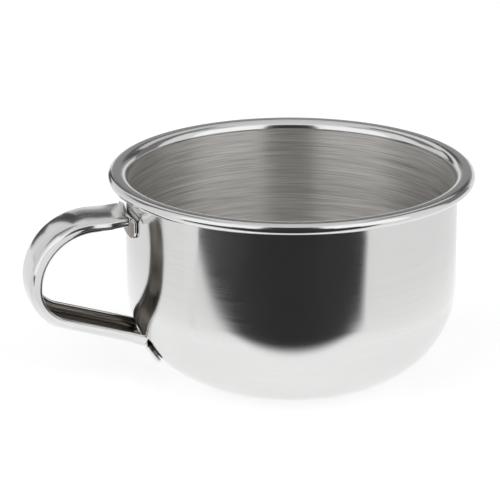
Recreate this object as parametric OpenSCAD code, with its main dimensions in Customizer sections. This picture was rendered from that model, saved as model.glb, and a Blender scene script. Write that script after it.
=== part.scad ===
// Shaving mug: a drawn sheet-steel bowl with a rolled lip and one pressed channel handle,
// spot-welded to the wall above and to the rounded bottom corner below.
// Millimetres. The origin is the centre of the flat base, +Z is up, and the handle points along -X.

/* [Bowl] */
// Diameter over the rolled lip
rim_d = 100; // [92:1:108]
// Height from the base to the top of the lip
bowl_h = 58.3; // [57:0.1:62]
// Sheet thickness of the bowl
bowl_t = 0.6; // [0.5:0.05:0.7]
// How far the lip stands out past the wall
lip_reach = 4.8; // [4.6:0.1:5.2]
// Radius of the rounded bottom corner, outside
corner_r = 26.2; // [25:0.2:28]
// Radius of the rolled bead, outside
bead_r = 1.54; // [1.4:0.02:1.6]
// Radius of the flare inside the lip
flare_r = 2.4; // [2.2:0.1:2.6]

/* [Handle] */
// Width of the strap
strap_w = 16; // [14:0.5:18]
// Sheet thickness of the strap
strap_t = 0.8; // [0.7:0.05:1]
// Depth of the channel, over the flanks
strap_depth = 3.5; // [3:0.1:3.8]
// Outside radius between the web and each flank
strap_edge_r = 2.6; // [2.2:0.1:2.8]
// Distance from the bowl's axis to the outermost point of the handle
handle_reach = 74.1; // [72:0.1:76]
// Height of the top of the handle
handle_top = 49.9; // [49.5:0.1:50.5]
// Outside radius of the upper bend
upper_bend_r = 18.9; // [18.5:0.1:20]
// Outside radius of the lower bend
lower_bend_r = 12.5; // [12:0.25:13]

/* [Tabs and welds] */
// Height of the lower edge of the upper tab
upper_tab_z = 43.4; // [42.5:0.1:44]
// Radius of the corners of the upper tab
tab_corner_r = 2.5; // [1.5:0.1:3]
// Radius of the bend into the upper tab, on the wall side
upper_root_r = 2; // [1.6:0.1:2.4]
// Length of the lower tab along the bowl, in degrees of the bottom corner
lower_tab_angle = 13; // [10:1:15]
// Space that the weld nuggets bridge between a tab and the bowl
weld_gap = 0.1; // [0.08:0.01:0.15]
// Radius of a weld nugget
nugget_r = 1.7; // [1.2:0.1:1.9]
// Distance between the two nuggets of a tab
nugget_pitch = 7.5; // [6:0.5:8.5]

/* [Hidden] */
$fn = 96;
fine_fn = 720;
steel = [0.78, 0.78, 0.79];
nugget_tint = [0.62, 0.60, 0.57];

rim_r = rim_d / 2;
wall_r = rim_r - lip_reach;
base_r = wall_r - corner_r;
bead_c = [rim_r - bead_r, bowl_h - bead_r];
flare_c = [wall_r - bowl_t + flare_r, bowl_h - flare_r];

// In the handle's plane a point is [distance from the bowl's axis, height].
upper_c = [handle_reach - upper_bend_r, handle_top - upper_bend_r];
lower_c = [handle_reach - lower_bend_r, upper_c.y];
corner_c = [base_r, corner_r];

// The lower leg falls 7 in 24 towards the bowl, so its direction is exactly [-0.96, -0.28].
leg_heading = 180 + atan(7 / 24);
leg_dir = [-0.96, -0.28];
leg_normal = [0.28, -0.96];
leg_start = lower_c + lower_bend_r * leg_normal;
leg_len = leg_start.x - corner_c.x;

// The lower tab starts where the leg's inner face meets the circle that the tab is bent to.
tab_in_r = corner_r + weld_gap;
leg_in = leg_start - strap_t * leg_normal - corner_c;
leg_in_along = leg_in * leg_dir;
leg_in_reach = -leg_in_along - sqrt(pow(leg_in_along, 2) - leg_in * leg_in + pow(tab_in_r, 2));
fold = leg_in + leg_in_reach * leg_dir;
tab_start_angle = atan2(fold.y, fold.x) - 0.3;
nugget_angle = tab_start_angle - 0.55 * lower_tab_angle;

wall_face_r = wall_r + weld_gap;
upper_root_c = [wall_face_r + upper_root_r, handle_top - upper_root_r];
upper_nugget_z = (upper_tab_z + upper_root_c.y) / 2;
far = 60;
overlap = 0.01;

// A ring between two radii, cut to one quadrant: sx and sy pick its side in x and in y.
module quarter_ring(outer, inner, sx, sy) {
    intersection() {
        difference() {
            circle(r = outer);
            if (inner > 0)
                circle(r = inner);
        }
        translate([sx < 0 ? -outer : 0, sy < 0 ? -outer : 0])
            square(outer);
    }
}

// The bowl's outer form in section, solid, up to where the wall begins.
module bowl_solid_profile() {
    square([base_r, corner_r]);
    translate(corner_c)
        quarter_ring(corner_r, 0, 1, -1, $fn = fine_fn);
}

// The bowl's sheet in section: x is the radius and y the height.
module bowl_profile() {
    square([base_r, bowl_t]);
    translate(corner_c)
        quarter_ring(corner_r, corner_r - bowl_t, 1, -1);
    translate([wall_r - bowl_t, corner_r])
        square([bowl_t, flare_c.y - corner_r]);
    translate(flare_c)
        quarter_ring(flare_r, flare_r - bowl_t, -1, 1);
    translate([flare_c.x, bowl_h - bowl_t])
        square([bead_c.x - flare_c.x, bowl_t]);
    translate(bead_c) {
        quarter_ring(bead_r, bead_r - bowl_t, 1, 1);
        quarter_ring(bead_r, bead_r - bowl_t, 1, -1);
        quarter_ring(bead_r, bead_r - bowl_t, -1, -1);
    }
}

// A bar with two rounded edges: x is the depth, 0 at the web, and y the width.
module rounded_bar(width, depth, edge_r) {
    translate([-depth, -width / 2])
        square([depth - edge_r, width]);
    translate([-edge_r - overlap, -width / 2 + edge_r])
        square([edge_r + overlap, width - 2 * edge_r]);
    for (side = [-1, 1])
        translate([-edge_r, side * (width / 2 - edge_r)])
            circle(r = edge_r);
}

// The strap's channel section: the web is at x = 0 and the flanks reach to -strap_depth.
module channel_section() {
    difference() {
        intersection() {
            rounded_bar(strap_w, strap_depth + strap_edge_r, strap_edge_r);
            translate([-strap_depth, -strap_w / 2])
                square([strap_depth, strap_w]);
        }
        translate([-strap_t, 0])
            rounded_bar(strap_w - 2 * strap_t, 2 * strap_depth, strap_edge_r - strap_t);
    }
}

// A bend of a section about an axis across the strap, from one angle to another.
module bend(centre, from_angle, to_angle) {
    translate([centre.x, 0, centre.y])
        rotate([90, 0, 0])
            rotate([0, 0, from_angle])
                rotate_extrude(angle = to_angle - from_angle)
                    children();
}

// A straight run of the channel from a point, along a heading, with its web on the left.
module run(start, heading, length) {
    translate([start.x, 0, start.y])
        rotate([0, -heading, 0])
            rotate([180, -90, 0])
                linear_extrude(length)
                    channel_section();
}

// The outline of the upper end of the strap as seen along the handle: x is up, y across.
module upper_end_outline() {
    rounded_bar(strap_w, handle_top - upper_tab_z - tab_corner_r, strap_edge_r);
    translate([upper_tab_z - handle_top, -strap_w / 2 + tab_corner_r])
        square([tab_corner_r + overlap, strap_w - 2 * tab_corner_r]);
    for (side = [-1, 1])
        translate([upper_tab_z - handle_top + tab_corner_r, side * (strap_w / 2 - tab_corner_r)])
            circle(r = tab_corner_r);
}

// The upper root bend and tab, rolled to the curve of the wall.
module upper_end() {
    intersection() {
        rotate_extrude() {
            translate(upper_root_c)
                quarter_ring(upper_root_r, upper_root_r - strap_t, -1, 1);
            translate([wall_face_r, upper_tab_z - 1])
                square([strap_t, upper_root_c.y - upper_tab_z + 1 + overlap]);
        }
        translate([0, 0, handle_top])
            rotate([180, -90, 0])
                linear_extrude(far)
                    upper_end_outline();
    }
}

// The lower bend, from the outermost point of the handle round to where the leg begins.
module lower_bend() {
    difference() {
        translate([lower_c.x, 0, lower_c.y])
            mirror([0, 0, 1])
                translate([-lower_c.x, 0, -lower_c.y])
                    bend(lower_c, 0, 85)
                        translate([lower_bend_r, 0])
                            channel_section();
        translate([lower_c.x, 0, lower_c.y])
            rotate([0, -leg_heading, 0])
                translate([0, -far / 2, -far / 2])
                    cube([far / 2, far, far]);
    }
}

// The straight lower leg, cut off at the circle that the lower tab is bent to.
module lower_leg() {
    difference() {
        run(leg_start, leg_heading, leg_len);
        translate([corner_c.x, far / 2, corner_c.y])
            rotate([90, 0, 0])
                cylinder(r = tab_in_r, h = far);
    }
}

module handle_strap() {
    color(steel)
        rotate([0, 0, 180]) {
            upper_end();
            difference() {
                run([wall_r - 2, handle_top], 0, upper_c.x - wall_r + 2);
                translate([0, 0, handle_top - 2 * strap_depth])
                    cylinder(r = upper_root_c.x - overlap, h = 3 * strap_depth);
            }
            bend(upper_c, 0, 90)
                translate([upper_bend_r, 0])
                    channel_section();
            lower_bend();
            lower_leg();
            bend(corner_c, tab_start_angle - lower_tab_angle, tab_start_angle)
                translate([tab_in_r, -strap_w / 2])
                    square([strap_t, strap_w]);
        }
}

module bowl_shell() {
    color(steel)
        rotate_extrude()
            bowl_profile();
}

// Two nuggets between the wall and the upper tab.
module upper_spot_welds() {
    color(nugget_tint)
        for (side = [-1, 1])
            difference() {
                intersection() {
                    translate([-far, side * nugget_pitch / 2, upper_nugget_z])
                        rotate([0, 90, 0])
                            cylinder(r = nugget_r, h = far);
                    cylinder(r = wall_face_r, h = bowl_h);
                }
                cylinder(r = wall_r, h = bowl_h);
            }
}

// Two nuggets between the rounded corner and the lower tab.
module lower_spot_welds() {
    color(nugget_tint)
        rotate([0, 0, 180])
            for (side = [-1, 1])
                difference() {
                    intersection() {
                        translate([corner_c.x, side * nugget_pitch / 2, corner_c.y])
                            rotate([0, 90 - nugget_angle, 0])
                                translate([0, 0, corner_r - 2])
                                    cylinder(r = nugget_r, h = 4);
                        translate([corner_c.x, strap_w / 2, corner_c.y])
                            rotate([90, 0, 0])
                                cylinder(r = tab_in_r, h = strap_w, $fn = fine_fn);
                    }
                    rotate_extrude($fn = fine_fn)
                        bowl_solid_profile();
                }
}

bowl_shell();
handle_strap();
upper_spot_welds();
lower_spot_welds();
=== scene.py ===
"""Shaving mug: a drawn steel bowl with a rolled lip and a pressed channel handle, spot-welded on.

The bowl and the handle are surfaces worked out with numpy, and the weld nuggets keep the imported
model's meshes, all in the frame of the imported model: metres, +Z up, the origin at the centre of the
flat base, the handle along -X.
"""
import math

import bpy
import numpy as np
from bpy.props import FloatProperty, FloatVectorProperty, IntProperty, PointerProperty
from bpy.types import Operator, Panel, PropertyGroup
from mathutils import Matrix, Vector


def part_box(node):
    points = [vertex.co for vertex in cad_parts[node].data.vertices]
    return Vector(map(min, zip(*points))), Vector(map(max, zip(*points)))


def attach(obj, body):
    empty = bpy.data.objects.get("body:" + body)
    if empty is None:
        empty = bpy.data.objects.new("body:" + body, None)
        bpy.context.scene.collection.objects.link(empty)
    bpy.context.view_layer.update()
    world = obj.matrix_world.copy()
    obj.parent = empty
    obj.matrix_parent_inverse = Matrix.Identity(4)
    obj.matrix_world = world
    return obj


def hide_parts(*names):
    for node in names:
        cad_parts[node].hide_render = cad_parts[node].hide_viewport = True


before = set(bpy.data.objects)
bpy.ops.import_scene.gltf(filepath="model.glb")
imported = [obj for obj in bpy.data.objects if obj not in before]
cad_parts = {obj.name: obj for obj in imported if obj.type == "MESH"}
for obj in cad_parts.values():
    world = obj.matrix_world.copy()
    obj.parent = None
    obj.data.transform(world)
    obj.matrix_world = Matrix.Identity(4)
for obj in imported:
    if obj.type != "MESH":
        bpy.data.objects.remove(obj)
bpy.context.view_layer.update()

bl_info = {
    "name": "Shaving Mug",
    "version": (1, 0, 0),
    "blender": (4, 5, 0),
    "location": "3D View > Sidebar > Shaving Mug",
    "description": "Builds a drawn steel shaving mug with a welded channel handle",
    "category": "Add Mesh",
}

BOWL_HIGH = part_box("bowl_shell")[1]
STRAP_LOW, STRAP_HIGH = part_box("handle_strap")
MM = 0.001
ROOT = "root"


# ---------------------------------------------------------------- sizes and finishes

class BowlSizes(PropertyGroup):
    rim_radius: FloatProperty(
        name="Rim radius", description="Radius over the rolled lip",
        default=BOWL_HIGH.y, min=0.03, max=0.08, unit="LENGTH")
    height: FloatProperty(
        name="Height", description="Height from the base to the top of the lip",
        default=BOWL_HIGH.z, min=0.03, max=0.1, unit="LENGTH")
    sheet: FloatProperty(
        name="Sheet", description="Thickness of the bowl's sheet",
        default=0.6 * MM, min=0.3 * MM, max=1 * MM, unit="LENGTH")
    lip_reach: FloatProperty(
        name="Lip reach", description="How far the lip stands out past the wall",
        default=4.8 * MM, min=4.5 * MM, max=6 * MM, unit="LENGTH")
    corner_radius: FloatProperty(
        name="Corner radius", description="Outside radius of the rounded bottom corner",
        default=26.2 * MM, min=15 * MM, max=30 * MM, unit="LENGTH")
    bead_radius: FloatProperty(
        name="Bead radius", description="Outside radius of the rolled bead",
        default=1.54 * MM, min=1 * MM, max=2 * MM, unit="LENGTH")
    flare_radius: FloatProperty(
        name="Flare radius", description="Radius of the flare inside the lip",
        default=2.4 * MM, min=1.5 * MM, max=3 * MM, unit="LENGTH")
    around: IntProperty(
        name="Steps around", description="Faces round the bowl", default=320, min=64, max=400)


class HandleSizes(PropertyGroup):
    width: FloatProperty(
        name="Width", description="Width of the strap",
        default=STRAP_HIGH.y - STRAP_LOW.y, min=0.01, max=0.03, unit="LENGTH")
    reach: FloatProperty(
        name="Reach", description="Distance from the bowl's axis to the outermost point",
        default=-STRAP_LOW.x, min=0.06, max=0.1, unit="LENGTH")
    top: FloatProperty(
        name="Top", description="Height of the top of the handle",
        default=STRAP_HIGH.z, min=0.03, max=0.08, unit="LENGTH")
    sheet: FloatProperty(
        name="Sheet", description="Thickness of the strap's sheet",
        default=0.8 * MM, min=0.5 * MM, max=1.2 * MM, unit="LENGTH")
    depth: FloatProperty(
        name="Depth", description="Depth of the channel, over the flanks",
        default=3.5 * MM, min=2 * MM, max=5 * MM, unit="LENGTH")
    edge_radius: FloatProperty(
        name="Edge radius", description="Radius between the web and each flank",
        default=2.6 * MM, min=1 * MM, max=3 * MM, unit="LENGTH")
    crown: FloatProperty(
        name="Crown", description="How far the web drops from its middle to its edges",
        default=0.35 * MM, min=0, max=0.8 * MM, unit="LENGTH")
    upper_bend: FloatProperty(
        name="Upper bend", description="Outside radius of the upper bend",
        default=18.9 * MM, min=10 * MM, max=25 * MM, unit="LENGTH")
    lower_bend: FloatProperty(
        name="Lower bend", description="Outside radius of the lower bend",
        default=12.5 * MM, min=8 * MM, max=18 * MM, unit="LENGTH")
    leg_slope: FloatProperty(
        name="Leg slope", description="Fall of the lower leg towards the bowl",
        default=math.atan(7 / 24), min=0, max=0.5, unit="ROTATION")
    tab_low: FloatProperty(
        name="Upper tab", description="Height of the lower edge of the upper tab",
        default=43.4 * MM, min=0.03, max=0.05, unit="LENGTH")
    weld_gap: FloatProperty(
        name="Weld gap", description="Space that the nuggets bridge",
        default=0.1 * MM, min=0.05 * MM, max=0.3 * MM, unit="LENGTH")


class SteelFinish(PropertyGroup):
    steel: FloatVectorProperty(
        name="Steel", description="Colour of polished steel",
        subtype="COLOR", size=3, default=(0.75, 0.75, 0.745), min=0, max=1)
    brushed: FloatVectorProperty(
        name="Brushed steel", description="Colour of the brushed inside",
        subtype="COLOR", size=3, default=(0.77, 0.752, 0.73), min=0, max=1)
    # The channel's colour is painted dark: painted shade and painted dark reflections of the recess,
    # laid over the strap's unpolished steel.
    channel: FloatVectorProperty(
        name="Channel", description="Colour of the unpolished inside of the strap",
        subtype="COLOR", size=3, default=(0.20, 0.18, 0.16), min=0, max=1)
    weld: FloatVectorProperty(
        name="Weld", description="Colour of the fused nuggets",
        subtype="COLOR", size=3, default=(0.42, 0.38, 0.34), min=0, max=1)


class StageSettings(PropertyGroup):
    azimuth: FloatProperty(
        name="Azimuth", description="Camera's turn round the mug",
        default=math.radians(-13), unit="ROTATION")
    elevation: FloatProperty(
        name="Elevation", description="Camera's height angle",
        default=math.radians(18.6), unit="ROTATION")
    distance: FloatProperty(
        name="Distance", description="From the camera to the point it aims at",
        default=1.0, min=0.3, max=5, unit="LENGTH")
    lens: FloatProperty(
        name="Lens", description="Focal length for a 36 mm sensor, in millimetres",
        default=262.37, min=20, max=500)
    aim_right: FloatProperty(
        name="Aim right", description="Aim point, to the right of the bowl's axis",
        default=-11.3 * MM, unit="LENGTH")
    aim_height: FloatProperty(
        name="Aim height", description="Aim point above the base",
        default=34.8 * MM, unit="LENGTH")
    floor: FloatVectorProperty(
        name="Floor", description="Colour of the floor",
        subtype="COLOR", size=3, default=(0.93, 0.93, 0.93), min=0, max=1)
    floor_glow: FloatProperty(
        name="Floor glow", description="Light of the table from below", default=0.43, min=0, max=5)
    light: FloatProperty(
        name="Light", description="Brightness of the light cards", default=1.0, min=0, max=20)
    surround: FloatVectorProperty(
        name="Surround", description="Light of the room beyond the cards",
        subtype="COLOR", size=3, default=(0.10, 0.10, 0.105), min=0, max=1)


# ---------------------------------------------------------------- outlines in a plane

def arc(centre, radius, start, end, steps):
    """Points centre + radius (cos a, sin a), with a in even steps from start to end degrees."""
    a = np.radians(np.linspace(start, end, steps + 1))
    return np.column_stack([centre[0] + radius * np.cos(a), centre[1] + radius * np.sin(a)])


def line(start, end, steps):
    """Points (1 - t) start + t end, with t in even steps from 0 to 1."""
    t = np.linspace(0, 1, steps + 1)[:, None]
    return (1 - t) * np.asarray(start, float) + t * np.asarray(end, float)


def joined(*pieces):
    """The pieces end to end, each without the point that it shares with the one before."""
    return np.concatenate([pieces[0]] + [p[1:] for p in pieces[1:]])


def travelled(points):
    """Distance along an outline from its first point to each of its points."""
    steps = np.linalg.norm(np.diff(points, axis=0), axis=1)
    return np.concatenate([[0], np.cumsum(steps)])


def smooth(t):
    """3 t^2 - 2 t^3 with t held between 0 and 1."""
    t = np.clip(t, 0, 1)
    return t * t * (3 - 2 * t)


# ---------------------------------------------------------------- grids to meshes

def grid_faces(rows, cols, closed):
    """Quads between neighbours of a grid of points numbered row by row; closed joins the last
    column to the first."""
    i, j = np.meshgrid(np.arange(rows - 1), np.arange(cols if closed else cols - 1), indexing="ij")
    k = (j + 1) % cols
    quads = np.stack([i * cols + j, i * cols + k, (i + 1) * cols + k, (i + 1) * cols + j], axis=-1)
    corner_u = np.stack([j, j + 1, j + 1, j], axis=-1)
    corner_v = np.stack([i, i, i + 1, i + 1], axis=-1)
    return quads.reshape(-1, 4), corner_u.reshape(-1, 4), corner_v.reshape(-1, 4)


def make_piece(name, points, faces, uvs, zones, materials, sharp_angle):
    """A mesh object from points, a list of faces, one (u, v) for each face corner, and one
    material number for each face."""
    mesh = bpy.data.meshes.new(name)
    mesh.from_pydata(points.tolist(), [], faces)
    for material in materials:
        mesh.materials.append(material)
    mesh.polygons.foreach_set("material_index", np.asarray(zones, np.int32))
    mesh.polygons.foreach_set("use_smooth", np.ones(len(faces), bool))
    layer = mesh.uv_layers.new(name="grain")
    layer.data.foreach_set("uv", np.asarray(uvs, np.float32).ravel())
    mesh.update()
    mesh.validate()
    mesh.set_sharp_from_angle(angle=math.radians(sharp_angle))
    piece = bpy.data.objects.new(name, mesh)
    bpy.context.scene.collection.objects.link(piece)
    return piece


# ---------------------------------------------------------------- the bowl

ZONE_OUTSIDE, ZONE_LIP, ZONE_INSIDE = 0, 1, 2


def bowl_outline(size):
    """The bowl's sheet in section as (radius, height), from the middle of the base's underside out,
    up the wall, round the bead, back down inside and in to the middle; and each stretch's zone.
    Corners, flare and bead are arcs, and the rest is straight."""
    t = size.sheet
    wall = size.rim_radius - size.lip_reach
    corner = (wall - size.corner_radius, size.corner_radius)
    bead = (size.rim_radius - size.bead_radius, size.height - size.bead_radius)
    flare = (wall - t + size.flare_radius, size.height - size.flare_radius)
    curl_r = size.bead_radius - t / 2
    stretches = [
        (line((0, 0), (corner[0], 0), 12), ZONE_OUTSIDE),
        (arc(corner, size.corner_radius, -90, 0, 44), ZONE_OUTSIDE),
        (line((wall, corner[1]), (wall, flare[1]), 8), ZONE_OUTSIDE),
        (arc(flare, size.flare_radius - t, 180, 90, 10), ZONE_LIP),
        (line((flare[0], size.height - t), (bead[0], size.height - t), 2), ZONE_LIP),
        (arc(bead, size.bead_radius - t, 90, -180, 24), ZONE_LIP),
        (arc((bead[0] - curl_r, bead[1]), t / 2, 0, 180, 6), ZONE_LIP),
        (arc(bead, size.bead_radius, -180, 90, 52), ZONE_LIP),
        (line((bead[0], size.height), (flare[0], size.height), 2), ZONE_LIP),
        (arc(flare, size.flare_radius, 90, 180, 20), ZONE_LIP),
        (line((wall - t, flare[1]), (wall - t, corner[1]), 8), ZONE_INSIDE),
        (arc(corner, size.corner_radius - t, 0, -90, 44), ZONE_INSIDE),
        (line((corner[0], t), (0, t), 12), ZONE_INSIDE),
    ]
    outline = joined(*[s[0] for s in stretches])
    zones = np.concatenate([np.full(len(p) - 1, zone) for p, zone in stretches])
    return outline, zones


def lathe(outline, zones, count):
    """The surface (r cos a, r sin a, z) for each outline point (r, z) and count even angles a. The
    two ends of the outline lie on the axis, and each is one point with a fan of triangles. The map
    is (turns round the axis, distance along the outline)."""
    inner = outline[1:-1]
    a = 2 * np.pi * np.arange(count) / count
    ring = np.stack([np.cos(a), np.sin(a)], axis=-1)
    xy = inner[:, None, :1] * ring[None]
    z = np.broadcast_to(inner[:, None, 1:], xy.shape[:2] + (1,))
    points = np.concatenate([xy, z], axis=-1).reshape(-1, 3)
    first, last = len(points), len(points) + 1
    points = np.vstack([points, [0, 0, outline[0, 1]], [0, 0, outline[-1, 1]]])

    run = travelled(outline)
    quads, u, v = grid_faces(len(inner), count, True)
    quad_uv = np.stack([u / count, run[1:-1][v]], axis=-1)
    j = np.arange(count)
    k = (j + 1) % count
    start_fan = np.stack([np.full(count, first), k, j], axis=-1)
    start_uv = np.stack([np.stack([j + 0.5, j + 1, j], -1) / count,
                         np.broadcast_to([run[0], run[1], run[1]], (count, 3))], axis=-1)
    base = (len(inner) - 1) * count
    end_fan = np.stack([np.full(count, last), base + j, base + k], axis=-1)
    end_uv = np.stack([np.stack([j + 0.5, j, j + 1], -1) / count,
                       np.broadcast_to([run[-1], run[-2], run[-2]], (count, 3))], axis=-1)

    faces = quads.tolist() + start_fan.tolist() + end_fan.tolist()
    uvs = np.concatenate([quad_uv.reshape(-1, 2), start_uv.reshape(-1, 2), end_uv.reshape(-1, 2)])
    face_zones = np.concatenate([np.repeat(zones[1:-1], count),
                                 np.full(count, zones[0]), np.full(count, zones[-1])])
    return points, faces, uvs, face_zones


# ---------------------------------------------------------------- the handle

ZONE_STRAP, ZONE_CHANNEL = 0, 1
# Radii of the bends into the two tabs, the lower tab's length in degrees of the bowl's corner, and
# the radius of the tabs' corners.
UPPER_ROOT = 2.0 * MM
LOWER_ROOT = 0.8 * MM
LOWER_TAB_TURN = 13
TAB_CORNER = 2.5 * MM
# The flanks rise within FLANK_RAMP, start lower by SHALLOW_ROOT and are full after SHALLOW_RUN.
FLANK_RAMP = 0.5 * MM
SHALLOW_ROOT = 1.0 * MM
SHALLOW_RUN = 9 * MM
# From where the flanks begin: how soon the web has its crown, and how soon the wrap ends.
CROWN_RUN = 6 * MM
WRAP_RUN = 3 * MM
# The finest and the coarsest step along the strap, and the faces of each part of its section.
LEAST_STEP = 5e-6
STATION_STEP = 0.35 * MM
SECTION_STEPS = {"flank": 5, "edge": 12, "web": 24, "tip": 4}


def strap_path(size, bowl):
    """The line that the strap's outer face follows in the handle's plane, as (distance from the
    bowl's axis, height). It runs from the upper tab up, over the loop and down to the lower tab, as
    straights and arcs that meet tangent. With it come the face's outward direction and the distance
    travelled at each point, and the distances at which the flanks begin and end."""
    wall = bowl.rim_radius - bowl.lip_reach
    corner = np.array([wall - bowl.corner_radius, bowl.corner_radius])
    face_r = wall + size.weld_gap
    root = np.array([face_r + UPPER_ROOT, size.top - UPPER_ROOT])
    upper = np.array([size.reach - size.upper_bend, size.top - size.upper_bend])
    lower = np.array([size.reach - size.lower_bend, upper[1]])
    turn = math.degrees(size.leg_slope)
    heading = np.array([-math.cos(size.leg_slope), -math.sin(size.leg_slope)])
    out = np.array([math.sin(size.leg_slope), -math.cos(size.leg_slope)])
    leg_start = lower + size.lower_bend * out

    # The fold's centre lies LOWER_ROOT outside the leg's face and outside the lower tab's face.
    tab_r = bowl.corner_radius + size.weld_gap + size.sheet
    offset = leg_start + LOWER_ROOT * out - corner
    along = offset @ heading
    leg_run = -along - math.sqrt(along ** 2 - offset @ offset + (tab_r + LOWER_ROOT) ** 2)
    fold = leg_start + LOWER_ROOT * out + leg_run * heading
    to_corner = math.degrees(math.atan2(*(corner - fold)[::-1]))
    tab_start = to_corner - 180

    tab = line((face_r, size.tab_low), (face_r, root[1]), 26)
    root_arc = arc(root, UPPER_ROOT, 180, 90, 16)
    top = line((root[0], size.top), upper + [0, size.upper_bend], 26)
    over = arc(upper, size.upper_bend, 90, 0, 90)
    under = arc(lower, size.lower_bend, 0, turn - 90, 64)
    leg = line(leg_start, leg_start + leg_run * heading, 60)
    fold_arc = arc(fold, LOWER_ROOT, 90 + turn, to_corner, 12)
    low_tab = arc(corner, tab_r, tab_start, tab_start - LOWER_TAB_TURN, 26)

    def outward(points, centre, sign):
        return sign * (points - centre) / np.linalg.norm(points - centre, axis=1)[:, None]

    path = joined(tab, root_arc, top, over, under, leg, fold_arc, low_tab)
    normals = np.concatenate([
        np.tile([-1.0, 0.0], (len(tab), 1)),
        outward(root_arc, root, 1)[1:],
        np.tile([0.0, 1.0], (len(top) - 1, 1)),
        outward(over, upper, 1)[1:],
        outward(under, lower, 1)[1:],
        np.tile(out, (len(leg) - 1, 1)),
        outward(fold_arc, fold, -1)[1:],
        outward(low_tab, corner, 1)[1:],
    ])
    run = travelled(path)
    flank_start = run[len(tab) + len(root_arc) - 2]
    flank_end = run[-len(low_tab) - len(fold_arc) + 1]
    return path, normals, run, flank_start, flank_end


def resampled(path, normals, run, marks, step):
    """The path at even distances no more than step apart, with closer ones where the flanks start
    and stop and at the tabs' rounded ends."""
    even = np.linspace(0, run[-1], int(run[-1] / step) + 1)
    fine = [np.linspace(m - 1.2 * FLANK_RAMP, m + 1.2 * FLANK_RAMP, 15) for m in marks]
    q = TAB_CORNER * (1 - np.cos(np.linspace(0, np.pi / 2, 14)))
    at = np.unique(np.round(np.concatenate([even, *fine, q, run[-1] - q]), 7))
    at = at[np.concatenate([[True], np.diff(at) > LEAST_STEP])]
    points = np.column_stack([np.interp(at, run, path[:, k]) for k in (0, 1)])
    facing = np.column_stack([np.interp(at, run, normals[:, k]) for k in (0, 1)])
    return points, facing / np.linalg.norm(facing, axis=1)[:, None], at


def face_section(half_w, depth, edge, crown):
    """One face of the channel from flank tip to flank tip, as (across, out) for every station: a
    straight flank, a quarter turn of the edge radius less the crown's slope, and a web that drops
    by crown times (across / half web)^2."""
    n = SECTION_STEPS
    lean = np.arctan(2 * crown / (half_w - edge))
    web_half = half_w - edge * (1 - np.sin(lean))
    arc_y = web_half - edge * np.sin(lean)
    arc_z = -crown - edge * np.cos(lean)
    flank_t = np.linspace(0, 1, n["flank"] + 1)[:-1]
    turn_t = np.linspace(0, 1, n["edge"] + 1)[:-1]
    web_t = np.linspace(-1, 0, n["web"] // 2 + 1)
    flank = np.stack([np.repeat(-half_w[:, None], len(flank_t), 1),
                      -depth[:, None] + flank_t * (depth + arc_z)[:, None]], -1)
    angle = np.pi - turn_t * (np.pi / 2 - lean)[:, None]
    turn = np.stack([-arc_y[:, None] + edge[:, None] * np.cos(angle),
                     arc_z[:, None] + edge[:, None] * np.sin(angle)], -1)
    web = np.stack([web_t * web_half[:, None], -crown[:, None] * web_t ** 2], -1)
    left = np.concatenate([flank, turn, web], axis=1)
    right = left[:, -2::-1] * [-1, 1]
    return np.concatenate([left, right], axis=1)


def strap_section(size, at, total, flank_start, flank_end):
    """The closed outline of the strap at each station, as (across, out), and the points of one
    face: the outer face, a rounded edge, the inner face back and the other rounded edge. Between the
    tabs it is a channel; at the tabs it is a flat strip whose end corners are rounded."""
    t = size.sheet
    inside = np.minimum(at - flank_start, flank_end - at)
    is_strip = 1 - smooth(inside / FLANK_RAMP + 0.5)
    shallow = 1 - smooth((at - flank_start) / SHALLOW_RUN)
    depth = size.depth - SHALLOW_ROOT * shallow
    crown = size.crown * smooth(inside / CROWN_RUN)
    half = np.full(len(at), size.width / 2)
    edge = np.minimum(size.edge_radius, depth - 0.3 * MM)

    # The inner face is one sheet further in at the web, and level with the outer one at its ends.
    outer = face_section(half, depth - t / 2, edge, crown)
    inner = face_section(half - t, depth - t / 2, edge - t, crown)
    count = outer.shape[1]
    n_flank = SECTION_STEPS["flank"]
    share = np.ones(count)
    share[:n_flank] = np.linspace(0, 1, n_flank, endpoint=False)
    share[-n_flank:] = share[:n_flank][::-1]
    inner[..., 1] -= t * share

    past_corner = np.maximum(0, TAB_CORNER - np.minimum(at, total - at))
    rounding = TAB_CORNER - np.sqrt(np.maximum(0, TAB_CORNER ** 2 - past_corner ** 2))
    strip_half = half - rounding
    across = np.linspace(-1, 1, count)
    flat_y = across * (strip_half - t / 2)[:, None]
    flat_outer = np.stack([flat_y, 0 * flat_y], -1)
    flat_inner = np.stack([flat_y, 0 * flat_y - t], -1)

    m = is_strip[:, None, None]
    outer = (1 - m) * outer + m * flat_outer
    inner = (1 - m) * inner + m * flat_inner

    # Each rounded edge is a half turn from the end of one face to the start of the other.
    angle = np.linspace(0, np.pi, SECTION_STEPS["tip"] + 2)[1:-1, None]
    tips = []
    for first, second in ((outer[:, -1], inner[:, -1]), (inner[:, 0], outer[:, 0])):
        middle = (first + second)[:, None] / 2
        reach = (first - second)[:, None] / 2
        bulge = np.stack([reach[..., 1], -reach[..., 0]], -1)
        tips.append(middle + reach * np.cos(angle) + bulge * np.sin(angle))
    loop = np.concatenate([outer, tips[0], inner[:, ::-1], tips[1]], axis=1)
    return loop, count


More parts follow.
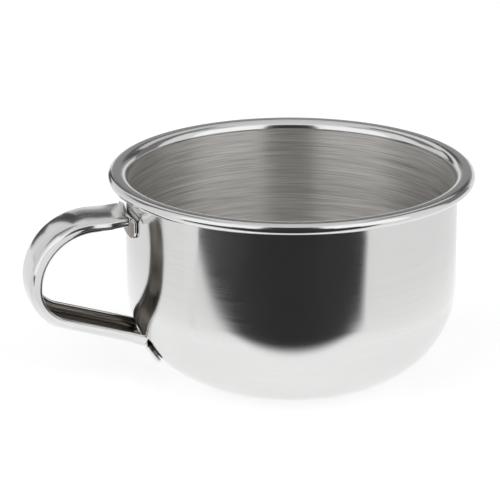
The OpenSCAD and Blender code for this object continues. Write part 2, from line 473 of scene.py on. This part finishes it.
def strap_surface(size, bowl):
    """The strap: at each station of the path, the section's outline carried along it. A point
    (across, out) goes to path + out * outward, at y = across. Near the bowl's upper tab the strip
    is wrapped round the wall: a distance d from the axis becomes sqrt(d^2 - y^2)."""
    path, normals, run, flank_start, flank_end = strap_path(size, bowl)
    points, facing, at = resampled(path, normals, run, (flank_start, flank_end), STATION_STEP)
    loop, count = strap_section(size, at, run[-1], flank_start, flank_end)
    y = loop[..., 0]
    plane = points[:, None] + loop[..., 1:] * facing[:, None]
    d, z = plane[..., 0], plane[..., 1]
    wrapped = np.sqrt(np.maximum(d ** 2 - y ** 2, 0))
    weight = 1 - smooth((at - flank_start) / WRAP_RUN)
    d = d + (wrapped - d) * weight[:, None]
    grid = np.stack([-d, y, z], -1)

    stations, around = grid.shape[:2]
    quads, u, v = grid_faces(stations, around, True)
    girth = travelled(loop[stations // 2])
    girth = np.append(girth, girth[-1] + 0.3 * MM)
    uv = np.stack([at[v], girth[u]], -1)

    column = quads[:, 0] % around
    tip = SECTION_STEPS["tip"]
    last_inner = 2 * count + tip - 1
    is_inner = (column >= count + tip) & (column < last_inner)
    zones = np.where(is_inner, ZONE_CHANNEL, ZONE_STRAP)

    # Each end is closed by quads from face to face and a polygon over each rounded edge.
    j = np.arange(count - 1)
    across = np.stack([j, last_inner - j, last_inner - j - 1, j + 1], -1)
    left = [0, *range(around - 1, last_inner - 1, -1)]
    right = [*range(count + tip, count - 2, -1)]
    start_cap = across.tolist() + [left, right]
    end_cap = [[(stations - 1) * around + k for k in reversed(face)] for face in start_cap]
    cap_faces = start_cap + end_cap
    corner_count = sum(len(face) for face in cap_faces)
    uvs = np.concatenate([uv.reshape(-1, 2), np.zeros((corner_count, 2))])
    zones = np.concatenate([zones, np.full(len(cap_faces), ZONE_STRAP)])
    return grid.reshape(-1, 3), quads.tolist() + cap_faces, uvs, zones


# ---------------------------------------------------------------- steel

# The length of fine and of coarse hairlines, how many times wider the coarse ones are, and the
# sizes of the slow waves and of the faint stains.
FINE_RUN = 15 * MM
COARSE_RUN = 50 * MM
COARSE_WIDTH = 4
WAVE_CELL = 14 * MM
STAIN_CELL = 22 * MM
WELD_GRAIN = 0.4 * MM


class Nodes:
    """Short calls for building one material's nodes."""

    def __init__(self, name):
        self.material = bpy.data.materials.new(name)
        self.material.use_nodes = True
        self.tree = self.material.node_tree
        self.shader = next(n for n in self.tree.nodes if n.type == "BSDF_PRINCIPLED")

    def add(self, kind, **values):
        node = self.tree.nodes.new(kind)
        for key, value in values.items():
            setattr(node, key, value)
        return node

    def link(self, source, target):
        self.tree.links.new(source, target)

    def fill(self, target, value):
        if isinstance(value, bpy.types.NodeSocket):
            self.link(value, target)
        else:
            target.default_value = value

    def maths(self, operation, *inputs):
        node = self.add("ShaderNodeMath", operation=operation)
        for socket, value in zip(node.inputs, inputs):
            self.fill(socket, value)
        return node.outputs[0]

    def vector(self, x, y, z):
        node = self.add("ShaderNodeCombineXYZ")
        for socket, value in zip(node.inputs, (x, y, z)):
            self.fill(socket, value)
        return node.outputs[0]

    def noise(self, vector, scale, detail):
        node = self.add("ShaderNodeTexNoise")
        self.fill(node.inputs["Vector"], vector)
        node.inputs["Scale"].default_value = scale
        node.inputs["Detail"].default_value = detail
        node.inputs["Roughness"].default_value = 0.5
        return node.outputs["Fac"]

    def ramp(self, value, low, high, out_low, out_high):
        node = self.add("ShaderNodeMapRange", clamp=True)
        for socket, number in zip(node.inputs, (value, low, high, out_low, out_high)):
            self.fill(socket, number)
        return node.outputs[0]

    def mix(self, factor, first, second):
        node = self.add("ShaderNodeMix", data_type="RGBA")
        colours = [s for s in node.inputs if s.type == "RGBA"]
        self.fill(node.inputs[0], factor)
        self.fill(colours[0], first)
        self.fill(colours[1], second)
        return next(s for s in node.outputs if s.type == "RGBA")


def colour4(colour, factor=1.0):
    """The colour times the factor, with alpha 1."""
    return (*[c * factor for c in colour], 1.0)


def bowl_grain(nodes):
    """Coordinates in which grain rings the axis: x and y of the object, and the distance along the
    bowl's section."""
    place = nodes.add("ShaderNodeSeparateXYZ")
    nodes.link(nodes.add("ShaderNodeTexCoord").outputs["Object"], place.inputs[0])
    run = nodes.add("ShaderNodeSeparateXYZ")
    nodes.link(nodes.add("ShaderNodeUVMap", uv_map="grain").outputs["UV"], run.inputs[0])
    return place.outputs[0], place.outputs[1], run.outputs[1]


def strap_grain(nodes):
    """Coordinates in which grain runs along the strap: distance along it, and round its section."""
    run = nodes.add("ShaderNodeSeparateXYZ")
    nodes.link(nodes.add("ShaderNodeUVMap", uv_map="grain").outputs["UV"], run.inputs[0])
    return run.outputs[0], 0.0, run.outputs[1]


def streaks(nodes, grain, length, width, detail):
    """Noise stretched along the grain: cells of about length by width, in metres."""
    a, b, across = grain
    vector = nodes.vector(nodes.maths("MULTIPLY", a, 1 / length),
                          nodes.maths("MULTIPLY", b, 1 / length),
                          nodes.maths("MULTIPLY", across, 1 / width))
    return nodes.noise(vector, 1.0, detail)


# Each steel: its grain, its colour's name in SteelFinish, roughness, anisotropy, width of a hairline,
# contrast, height of a hairline, and waviness.
STEELS = {
    "bowl_outside": (bowl_grain, "steel", 0.13, 0.6, 0.10 * MM, 0.03, 0.0010 * MM, 0.008 * MM),
    "bowl_lip": (bowl_grain, "steel", 0.14, 0.3, 0.10 * MM, 0.03, 0.0010 * MM, 0.006 * MM),
    "bowl_inside": (bowl_grain, "brushed", 0.42, 0.97, 0.26 * MM, 0.26, 0.014 * MM, 0.010 * MM),
    "strap_outside": (strap_grain, "steel", 0.13, 0.5, 0.22 * MM, 0.11, 0.0030 * MM, 0.010 * MM),
    # The channel steel's dark colour is painted shade and painted dark reflection of the recess, not the
    # steel's own tone.
    "strap_channel": (strap_grain, "channel", 0.24, 0.5, 0.22 * MM, 0.45, 0.006 * MM, 0.010 * MM),
}


def steel(name, finish):
    """Steel with hairlines along its grain, as STEELS says. Its colour varies by the contrast and
    its roughness a little with them. Their height is a bump over a slow waviness, and highlights
    stretch across them."""
    grain_of, tint, roughness, anisotropy, width, contrast, hairlines, waviness = STEELS[name]
    colour = getattr(finish, tint)
    nodes = Nodes(name)
    shader = nodes.shader
    grain = grain_of(nodes)
    place = nodes.add("ShaderNodeTexCoord").outputs["Object"]
    fine = streaks(nodes, grain, FINE_RUN, width, 2.0)
    coarse = streaks(nodes, grain, COARSE_RUN, COARSE_WIDTH * width, 3.0)
    slow = nodes.noise(place, 1 / WAVE_CELL, 1.0)
    stain = nodes.noise(place, 1 / STAIN_CELL, 2.0)

    both = nodes.maths("ADD", nodes.maths("MULTIPLY", fine, 0.7), nodes.maths("MULTIPLY", coarse, 0.3))
    tone = nodes.ramp(both, 0.35, 0.65, 0.0, 1.0)
    base = nodes.mix(tone, colour4(colour, 1 - contrast), colour4(colour, 1 + contrast))
    base = nodes.mix(nodes.ramp(stain, 0.45, 0.75, 0.0, 0.35), base, colour4(colour, 0.96))
    nodes.link(base, shader.inputs["Base Color"])
    rough = nodes.ramp(both, 0.3, 0.7, roughness * 0.75, roughness * 1.3)
    nodes.link(rough, shader.inputs["Roughness"])
    shader.inputs["Metallic"].default_value = 1.0
    shader.inputs["Anisotropic"].default_value = anisotropy
    shader.inputs["Anisotropic Rotation"].default_value = 0.25
    tangent = nodes.add("ShaderNodeTangent", direction_type="UV_MAP", uv_map="grain")
    nodes.link(tangent.outputs[0], shader.inputs["Tangent"])

    wave = nodes.add("ShaderNodeBump")
    wave.inputs["Distance"].default_value = waviness
    nodes.link(slow, wave.inputs["Height"])
    lines = nodes.add("ShaderNodeBump")
    lines.inputs["Distance"].default_value = hairlines
    nodes.link(both, lines.inputs["Height"])
    nodes.link(wave.outputs[0], lines.inputs["Normal"])
    nodes.link(lines.outputs[0], shader.inputs["Normal"])
    return nodes.material


def weld_steel(colour):
    """Fused steel: grainy, with a straw-brown heat tint."""
    nodes = Nodes("weld_steel")
    place = nodes.add("ShaderNodeTexCoord").outputs["Object"]
    grains = nodes.noise(place, 1 / WELD_GRAIN, 3.0)
    nodes.link(nodes.mix(grains, colour4(colour, 0.8), colour4(colour, 1.25)),
               nodes.shader.inputs["Base Color"])
    nodes.link(nodes.ramp(grains, 0.3, 0.7, 0.3, 0.5), nodes.shader.inputs["Roughness"])
    nodes.shader.inputs["Metallic"].default_value = 1.0
    return nodes.material


# ---------------------------------------------------------------- stage

UP = np.array([0, 0, 1])
FLOOR_HALF = 4.0
SKY_RADIUS = 1.5
FAR_RADIUS = 0.9
STRIP_RADIUS = 0.4
# Light cards on a sphere round the mug: azimuths from the camera's, elevations, and brightness.
LIGHT_CARDS = (
    ("softbox_left", -75, -19, -2, 50, 1.15),
    ("softbox_right", 19, 75, -2, 50, 1.2),
    ("side_left", -108, -75, -2, 50, 0.85),
    ("side_right", 75, 108, -2, 50, 0.85),
    ("softbox_upper", -60, 60, 50, 64, 0.95),
    ("upper_left", -108, -60, 50, 64, 0.55),
    ("upper_right", 60, 108, 50, 64, 0.55),
    ("zenith", -180, 180, 64, 90, 0.72),
    ("back_upper", 140, 195, 31, 64, 0.65),
    ("back_side", 195, 222, -2, 64, 0.8),
    ("back_left_low", -140, -108, 0, 24, 0.75),
    ("back_left", -140, -108, 24, 64, 0.2),
    ("back_right", 108, 140, 0, 64, 0.2),
    ("back_gap", 140, 195, 20, 31, 0.09),
    ("back_middle", 140, 195, 13, 20, 0.32),
    ("back_low", 140, 195, -2, 13, 0.8),
)
# Dark strips behind the handle, as azimuths and elevations.
BACK_STRIPS = (
    ("back_strip_upper", 202, 213, 9, 33),
    ("back_strip_lower", 205, 219, -4.9, 9),
)
# Cloths on the floor: from where to where across the view and reach, in millimetres, and brightness.
CLOTHS = (
    ("cloth_far_left", -900, -130, 1200, 0.07),
    ("cloth_left", -130, -85, 1200, 0.04),
    ("cloth_middle", -85, 120, 1200, 0.028),
    ("cloth_right", 120, 900, 1200, 0.05),
)
CLOTH_FADE = 16 * MM
CLOTH_LIFT = 0.4 * MM
# The cloths' near edge: its distance at the middle, how far it bends back within what run, and how
# steeply it slants from where on the right.
CLOTH_EDGE = 61 * MM
CLOTH_BEND = 23 * MM
CLOTH_BEND_RUN = 76 * MM
CLOTH_SLANT = 0.65
CLOTH_SLANT_FROM = 78 * MM
# The paper ring: its height above the floor, inner radius, glow there, and fall in glow.
PAPER_LIFT = 0.2 * MM
PAPER_START = 75 * MM
PAPER_GLOW = 1.05
PAPER_FALL = 0.18
# The near card's sheets, from where to where across the view and in height, in millimetres, and its
# distance from the axis.
NEAR_SHEETS = ((-84, -42, 40, 64), (-42, 52, 45, 82), (52, 96, 40, 64))
NEAR_FRONT = 137 * MM
# The fill card's top, foot and far edge, in millimetres, and its distance from the axis.
FILL_TOP, FILL_FOOT, FILL_WEST = 62, 6, -104
FILL_FRONT = 48 * MM


def floor_material(colour, glow):
    """A matt white light table: paper that also glows evenly."""
    nodes = Nodes("light_table")
    nodes.shader.inputs["Base Color"].default_value = colour4(colour)
    nodes.shader.inputs["Roughness"].default_value = 0.9
    nodes.shader.inputs["Specular IOR Level"].default_value = 0.0
    nodes.shader.inputs["Emission Color"].default_value = (1, 1, 1, 1)
    nodes.shader.inputs["Emission Strength"].default_value = glow
    return nodes.material


def glow_material(name, colour, strength):
    material = bpy.data.materials.new(name)
    material.use_nodes = True
    tree = material.node_tree
    tree.nodes.clear()
    glow = tree.nodes.new("ShaderNodeEmission")
    glow.inputs["Color"].default_value = colour4(colour)
    glow.inputs["Strength"].default_value = strength
    out = tree.nodes.new("ShaderNodeOutputMaterial")
    tree.links.new(glow.outputs[0], out.inputs[0])
    return material


def graded_material(name):
    """Light whose strength each point of the mesh carries."""
    material = glow_material(name, (1, 1, 1), 1.0)
    tree = material.node_tree
    strength = tree.nodes.new("ShaderNodeAttribute")
    strength.attribute_name = "glow"
    glow = next(n for n in tree.nodes if n.type == "EMISSION")
    tree.links.new(strength.outputs["Fac"], glow.inputs["Strength"])
    return material


def staged(name, points, faces, material):
    mesh = bpy.data.meshes.new(name)
    mesh.from_pydata(points.tolist(), [], faces.tolist())
    mesh.materials.append(material)
    piece = bpy.data.objects.new(name, mesh)
    bpy.context.scene.collection.objects.link(piece)
    return piece


def sky_patch(azimuths, low, high, radius, centre):
    """Part of a sphere round centre: radius (sin a cos e, -cos a cos e, sin e), where the azimuth a
    runs over azimuths and the elevation e from low to high, all in degrees."""
    a = np.radians(np.linspace(*azimuths, 33))[:, None]
    e = np.radians(np.linspace(low, high, 17))[None]
    grid = np.stack([np.sin(a) * np.cos(e), -np.cos(a) * np.cos(e), np.sin(e) + 0 * a], -1) * radius
    faces, _, _ = grid_faces(33, 17, False)
    return (grid + centre).reshape(-1, 3), faces


def only_in_reflections(piece):
    piece.visible_camera = False
    piece.visible_diffuse = False
    piece.visible_shadow = False
    piece.visible_transmission = False


def even_sheet(name, points, faces, colour, strength):
    """A sheet of even light that only reflections show."""
    only_in_reflections(staged(name, points, faces, glow_material(name, colour, strength)))


def graded_sheet(name, points, faces, glow):
    """A sheet that only reflections show, with its light given for each point."""
    sheet = staged(name, points, faces, graded_material(name))
    sheet.data.attributes.new("glow", "FLOAT", "POINT").data.foreach_set("value", glow)
    only_in_reflections(sheet)


def floor_cloth(west, east, reach, brightness, right, front):
    """A flat sheet just above the floor from west to east across the view, and its glow. A point
    lies u to the right and v to the front; v runs from a curved near edge, which is closest where u
    is 0 and falls back evenly on the right, out to the reach. The glow falls from the floor's to the
    cloth's over CLOTH_FADE."""
    u = np.linspace(west, east, 41)
    bend = CLOTH_BEND * smooth(np.abs(u) / CLOTH_BEND_RUN)
    edge = CLOTH_EDGE + bend + CLOTH_SLANT * np.maximum(u - CLOTH_SLANT_FROM, 0)
    t = np.linspace(0, 1, 33)[None] ** 2
    v = edge[:, None] * (1 - t) + reach * t
    grid = u[:, None, None] * right + v[..., None] * front + CLOTH_LIFT * UP
    glow = brightness + (1 - brightness) * (1 - smooth((v - edge[:, None]) / CLOTH_FADE))
    faces, _, _ = grid_faces(41, 33, False)
    return grid.reshape(-1, 3), faces, glow.ravel()


def ring_paper():
    """A ring of paper on the floor round the mug, radius (sin a, -cos a), and its glow, which falls
    by PAPER_FALL between PAPER_START and twice that radius."""
    a = np.linspace(0, 2 * np.pi, 97)[:, None]
    radius = np.array([75, 90, 105, 120, 135, 150, 300, 1500])[None] * MM
    grid = np.stack([np.sin(a) * radius, -np.cos(a) * radius, np.full((97, 8), PAPER_LIFT)], -1)
    glow = PAPER_GLOW - PAPER_FALL * smooth(radius / PAPER_START - 1) + 0 * a
    faces, _, _ = grid_faces(97, 8, False)
    return grid.reshape(-1, 3), faces, glow.ravel()


def near_card(right, front):
    """Three upright sheets side by side close in front of the mug, about the height of its lip: a
    tall one between two low wings."""
    west, east, low, high = np.array(NEAR_SHEETS).T * MM
    across = np.stack([west, east, east, west], -1).reshape(-1, 1)
    height = np.stack([low, low, high, high], -1).reshape(-1, 1)
    points = across * right + NEAR_FRONT * front + height * UP
    return points, np.arange(len(points)).reshape(-1, 4)


def fill_card(right, front):
    """A small upright card that lights the handle's rounded edge from the front. Its inner side, in
    millimetres across and up, follows the loop in two arcs, so that the flat flank inside that edge
    mirrors the dark cloth beyond."""
    over = arc((-38.4, 21), 22, 122, 180, 24)
    under = arc((-45, 21), 15.4, 180, 235, 12)
    inner = joined(line((-50, FILL_TOP), over[0], 4), over, under)
    far_edge = np.linspace(FILL_TOP, FILL_FOOT, len(inner))
    outer = np.column_stack([np.full(len(inner), FILL_WEST), far_edge])
    rows = np.stack([inner, outer]).reshape(-1, 2) * MM
    faces, _, _ = grid_faces(2, len(inner), False)
    return rows[:, :1] * right + FILL_FRONT * front + rows[:, 1:] * UP, faces


# ---------------------------------------------------------------- operators

class MUG_OT_bowl(Operator):
    """Build the bowl: a lathed sheet with a rounded corner, a flared lip and a rolled bead"""
    bl_idname = "shaving_mug.bowl"
    bl_label = "Bowl"

    def execute(self, context):
        scene = context.scene
        outline, zones = bowl_outline(scene.mug_bowl)
        surface = lathe(outline, zones, scene.mug_bowl.around)
        steels = ("bowl_outside", "bowl_lip", "bowl_inside")
        bowl = make_piece("bowl", *surface, [steel(name, scene.mug_finish) for name in steels], 40)
        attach(bowl, ROOT)
        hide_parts("bowl_shell")
        return {"FINISHED"}


class MUG_OT_handle(Operator):
    """Build the handle: a channel strap carried along its bends, with a tab at each end"""
    bl_idname = "shaving_mug.handle"
    bl_label = "Handle"

    def execute(self, context):
        scene = context.scene
        surface = strap_surface(scene.mug_handle, scene.mug_bowl)
        steels = ("strap_outside", "strap_channel")
        handle = make_piece("handle", *surface, [steel(name, scene.mug_finish) for name in steels], 35)
        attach(handle, ROOT)
        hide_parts("handle_strap")
        return {"FINISHED"}


class MUG_OT_welds(Operator):
    """Give the weld nuggets between the tabs and the bowl their finish"""
    bl_idname = "shaving_mug.welds"
    bl_label = "Welds"

    def execute(self, context):
        material = weld_steel(context.scene.mug_finish.weld)
        for name in ("upper_spot_welds", "lower_spot_welds"):
            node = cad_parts[name]
            node.data.materials.clear()
            node.data.materials.append(material)
        return {"FINISHED"}


class MUG_OT_stage(Operator):
    """Set the floor, the light cards, the dark cloths and cards, and the camera"""
    bl_idname = "shaving_mug.stage"
    bl_label = "Stage"

    def execute(self, context):
        stage = context.scene.mug_stage
        scene = context.scene
        turn = math.degrees(stage.azimuth)
        centre = stage.aim_height * UP
        white = (1, 1, 1)

        corners = np.array([[-1, -1, 0], [1, -1, 0], [1, 1, 0], [-1, 1, 0]]) * FLOOR_HALF
        staged("floor", corners, np.array([[0, 1, 2, 3]]), floor_material(stage.floor, stage.floor_glow))

        for name, west, east, low, high, brightness in LIGHT_CARDS:
            points, faces = sky_patch((turn + west, turn + east), low, high, SKY_RADIUS, centre)
            material = glow_material(name, white, brightness * stage.light)
            staged(name, points, faces, material).visible_camera = False

        # Cloths and cards near the mug shade it as a room would, and only reflections show them.
        right = np.array([math.cos(stage.azimuth), math.sin(stage.azimuth), 0])
        front = np.array([math.sin(stage.azimuth), -math.cos(stage.azimuth), 0])
        for name, west, east, reach, brightness in CLOTHS:
            graded_sheet(name, *floor_cloth(west * MM, east * MM, reach * MM, brightness, right, front))
        graded_sheet("ring_paper", *ring_paper())
        even_sheet("near_dark", *near_card(right, front), white, 0.03)
        even_sheet("handle_fill", *fill_card(right, front), white, 0.9)
        far = sky_patch((turn - 14, turn + 14), 5, 52, FAR_RADIUS, centre)
        even_sheet("far_dark", *far, (1, 0.98, 0.95), 0.04)
        for name, west, east, low, high in BACK_STRIPS:
            strip = sky_patch((turn + west, turn + east), low, high, STRIP_RADIUS, centre)
            even_sheet(name, *strip, white, 0.06)

        world = bpy.data.worlds.new("surround")
        world.use_nodes = True
        world.node_tree.nodes["Background"].inputs[0].default_value = colour4(stage.surround)
        scene.world = world
        scene.view_settings.view_transform = "Standard"

        self.add_camera(scene, stage)
        return {"FINISHED"}

    def add_camera(self, scene, stage):
        a, e = stage.azimuth, stage.elevation
        right = Vector((math.cos(a), math.sin(a), 0))
        back = Vector((math.sin(a) * math.cos(e), -math.cos(a) * math.cos(e), math.sin(e)))
        aim = right * stage.aim_right + Vector((0, 0, stage.aim_height))
        data = bpy.data.cameras.new("camera")
        data.lens = stage.lens
        data.sensor_width = 36
        data.clip_start, data.clip_end = 0.05, 30
        camera = bpy.data.objects.new("camera", data)
        camera.location = aim + back * stage.distance
        camera.rotation_euler = (-back).to_track_quat("-Z", "Y").to_euler()
        scene.collection.objects.link(camera)
        scene.camera = camera


class MUG_PT_panel(Panel):
    bl_label = "Shaving Mug"
    bl_idname = "MUG_PT_panel"
    bl_space_type = "VIEW_3D"
    bl_region_type = "UI"
    bl_category = "Shaving Mug"

    def draw(self, context):
        for group in ("mug_bowl", "mug_handle", "mug_finish", "mug_stage"):
            settings = getattr(context.scene, group)
            column = self.layout.column(align=True)
            for key in settings.bl_rna.properties.keys():
                if key not in ("rna_type", "name"):
                    column.prop(settings, key)
        for operator in OPERATORS:
            self.layout.operator(operator.bl_idname)


GROUPS = {
    "mug_bowl": BowlSizes,
    "mug_handle": HandleSizes,
    "mug_finish": SteelFinish,
    "mug_stage": StageSettings,
}
OPERATORS = (MUG_OT_stage, MUG_OT_bowl, MUG_OT_handle, MUG_OT_welds)


def register():
    for group in GROUPS.values():
        bpy.utils.register_class(group)
    for name, group in GROUPS.items():
        setattr(bpy.types.Scene, name, PointerProperty(type=group))
    for operator in OPERATORS:
        bpy.utils.register_class(operator)
    bpy.utils.register_class(MUG_PT_panel)


def unregister():
    bpy.utils.unregister_class(MUG_PT_panel)
    for operator in reversed(OPERATORS):
        bpy.utils.unregister_class(operator)
    for name in GROUPS:
        delattr(bpy.types.Scene, name)
    for group in reversed(list(GROUPS.values())):
        bpy.utils.unregister_class(group)


def main():
    register()
    bpy.ops.shaving_mug.stage()
    bpy.ops.shaving_mug.bowl()
    bpy.ops.shaving_mug.handle()
    bpy.ops.shaving_mug.welds()


if __name__ == "__main__":
    main()
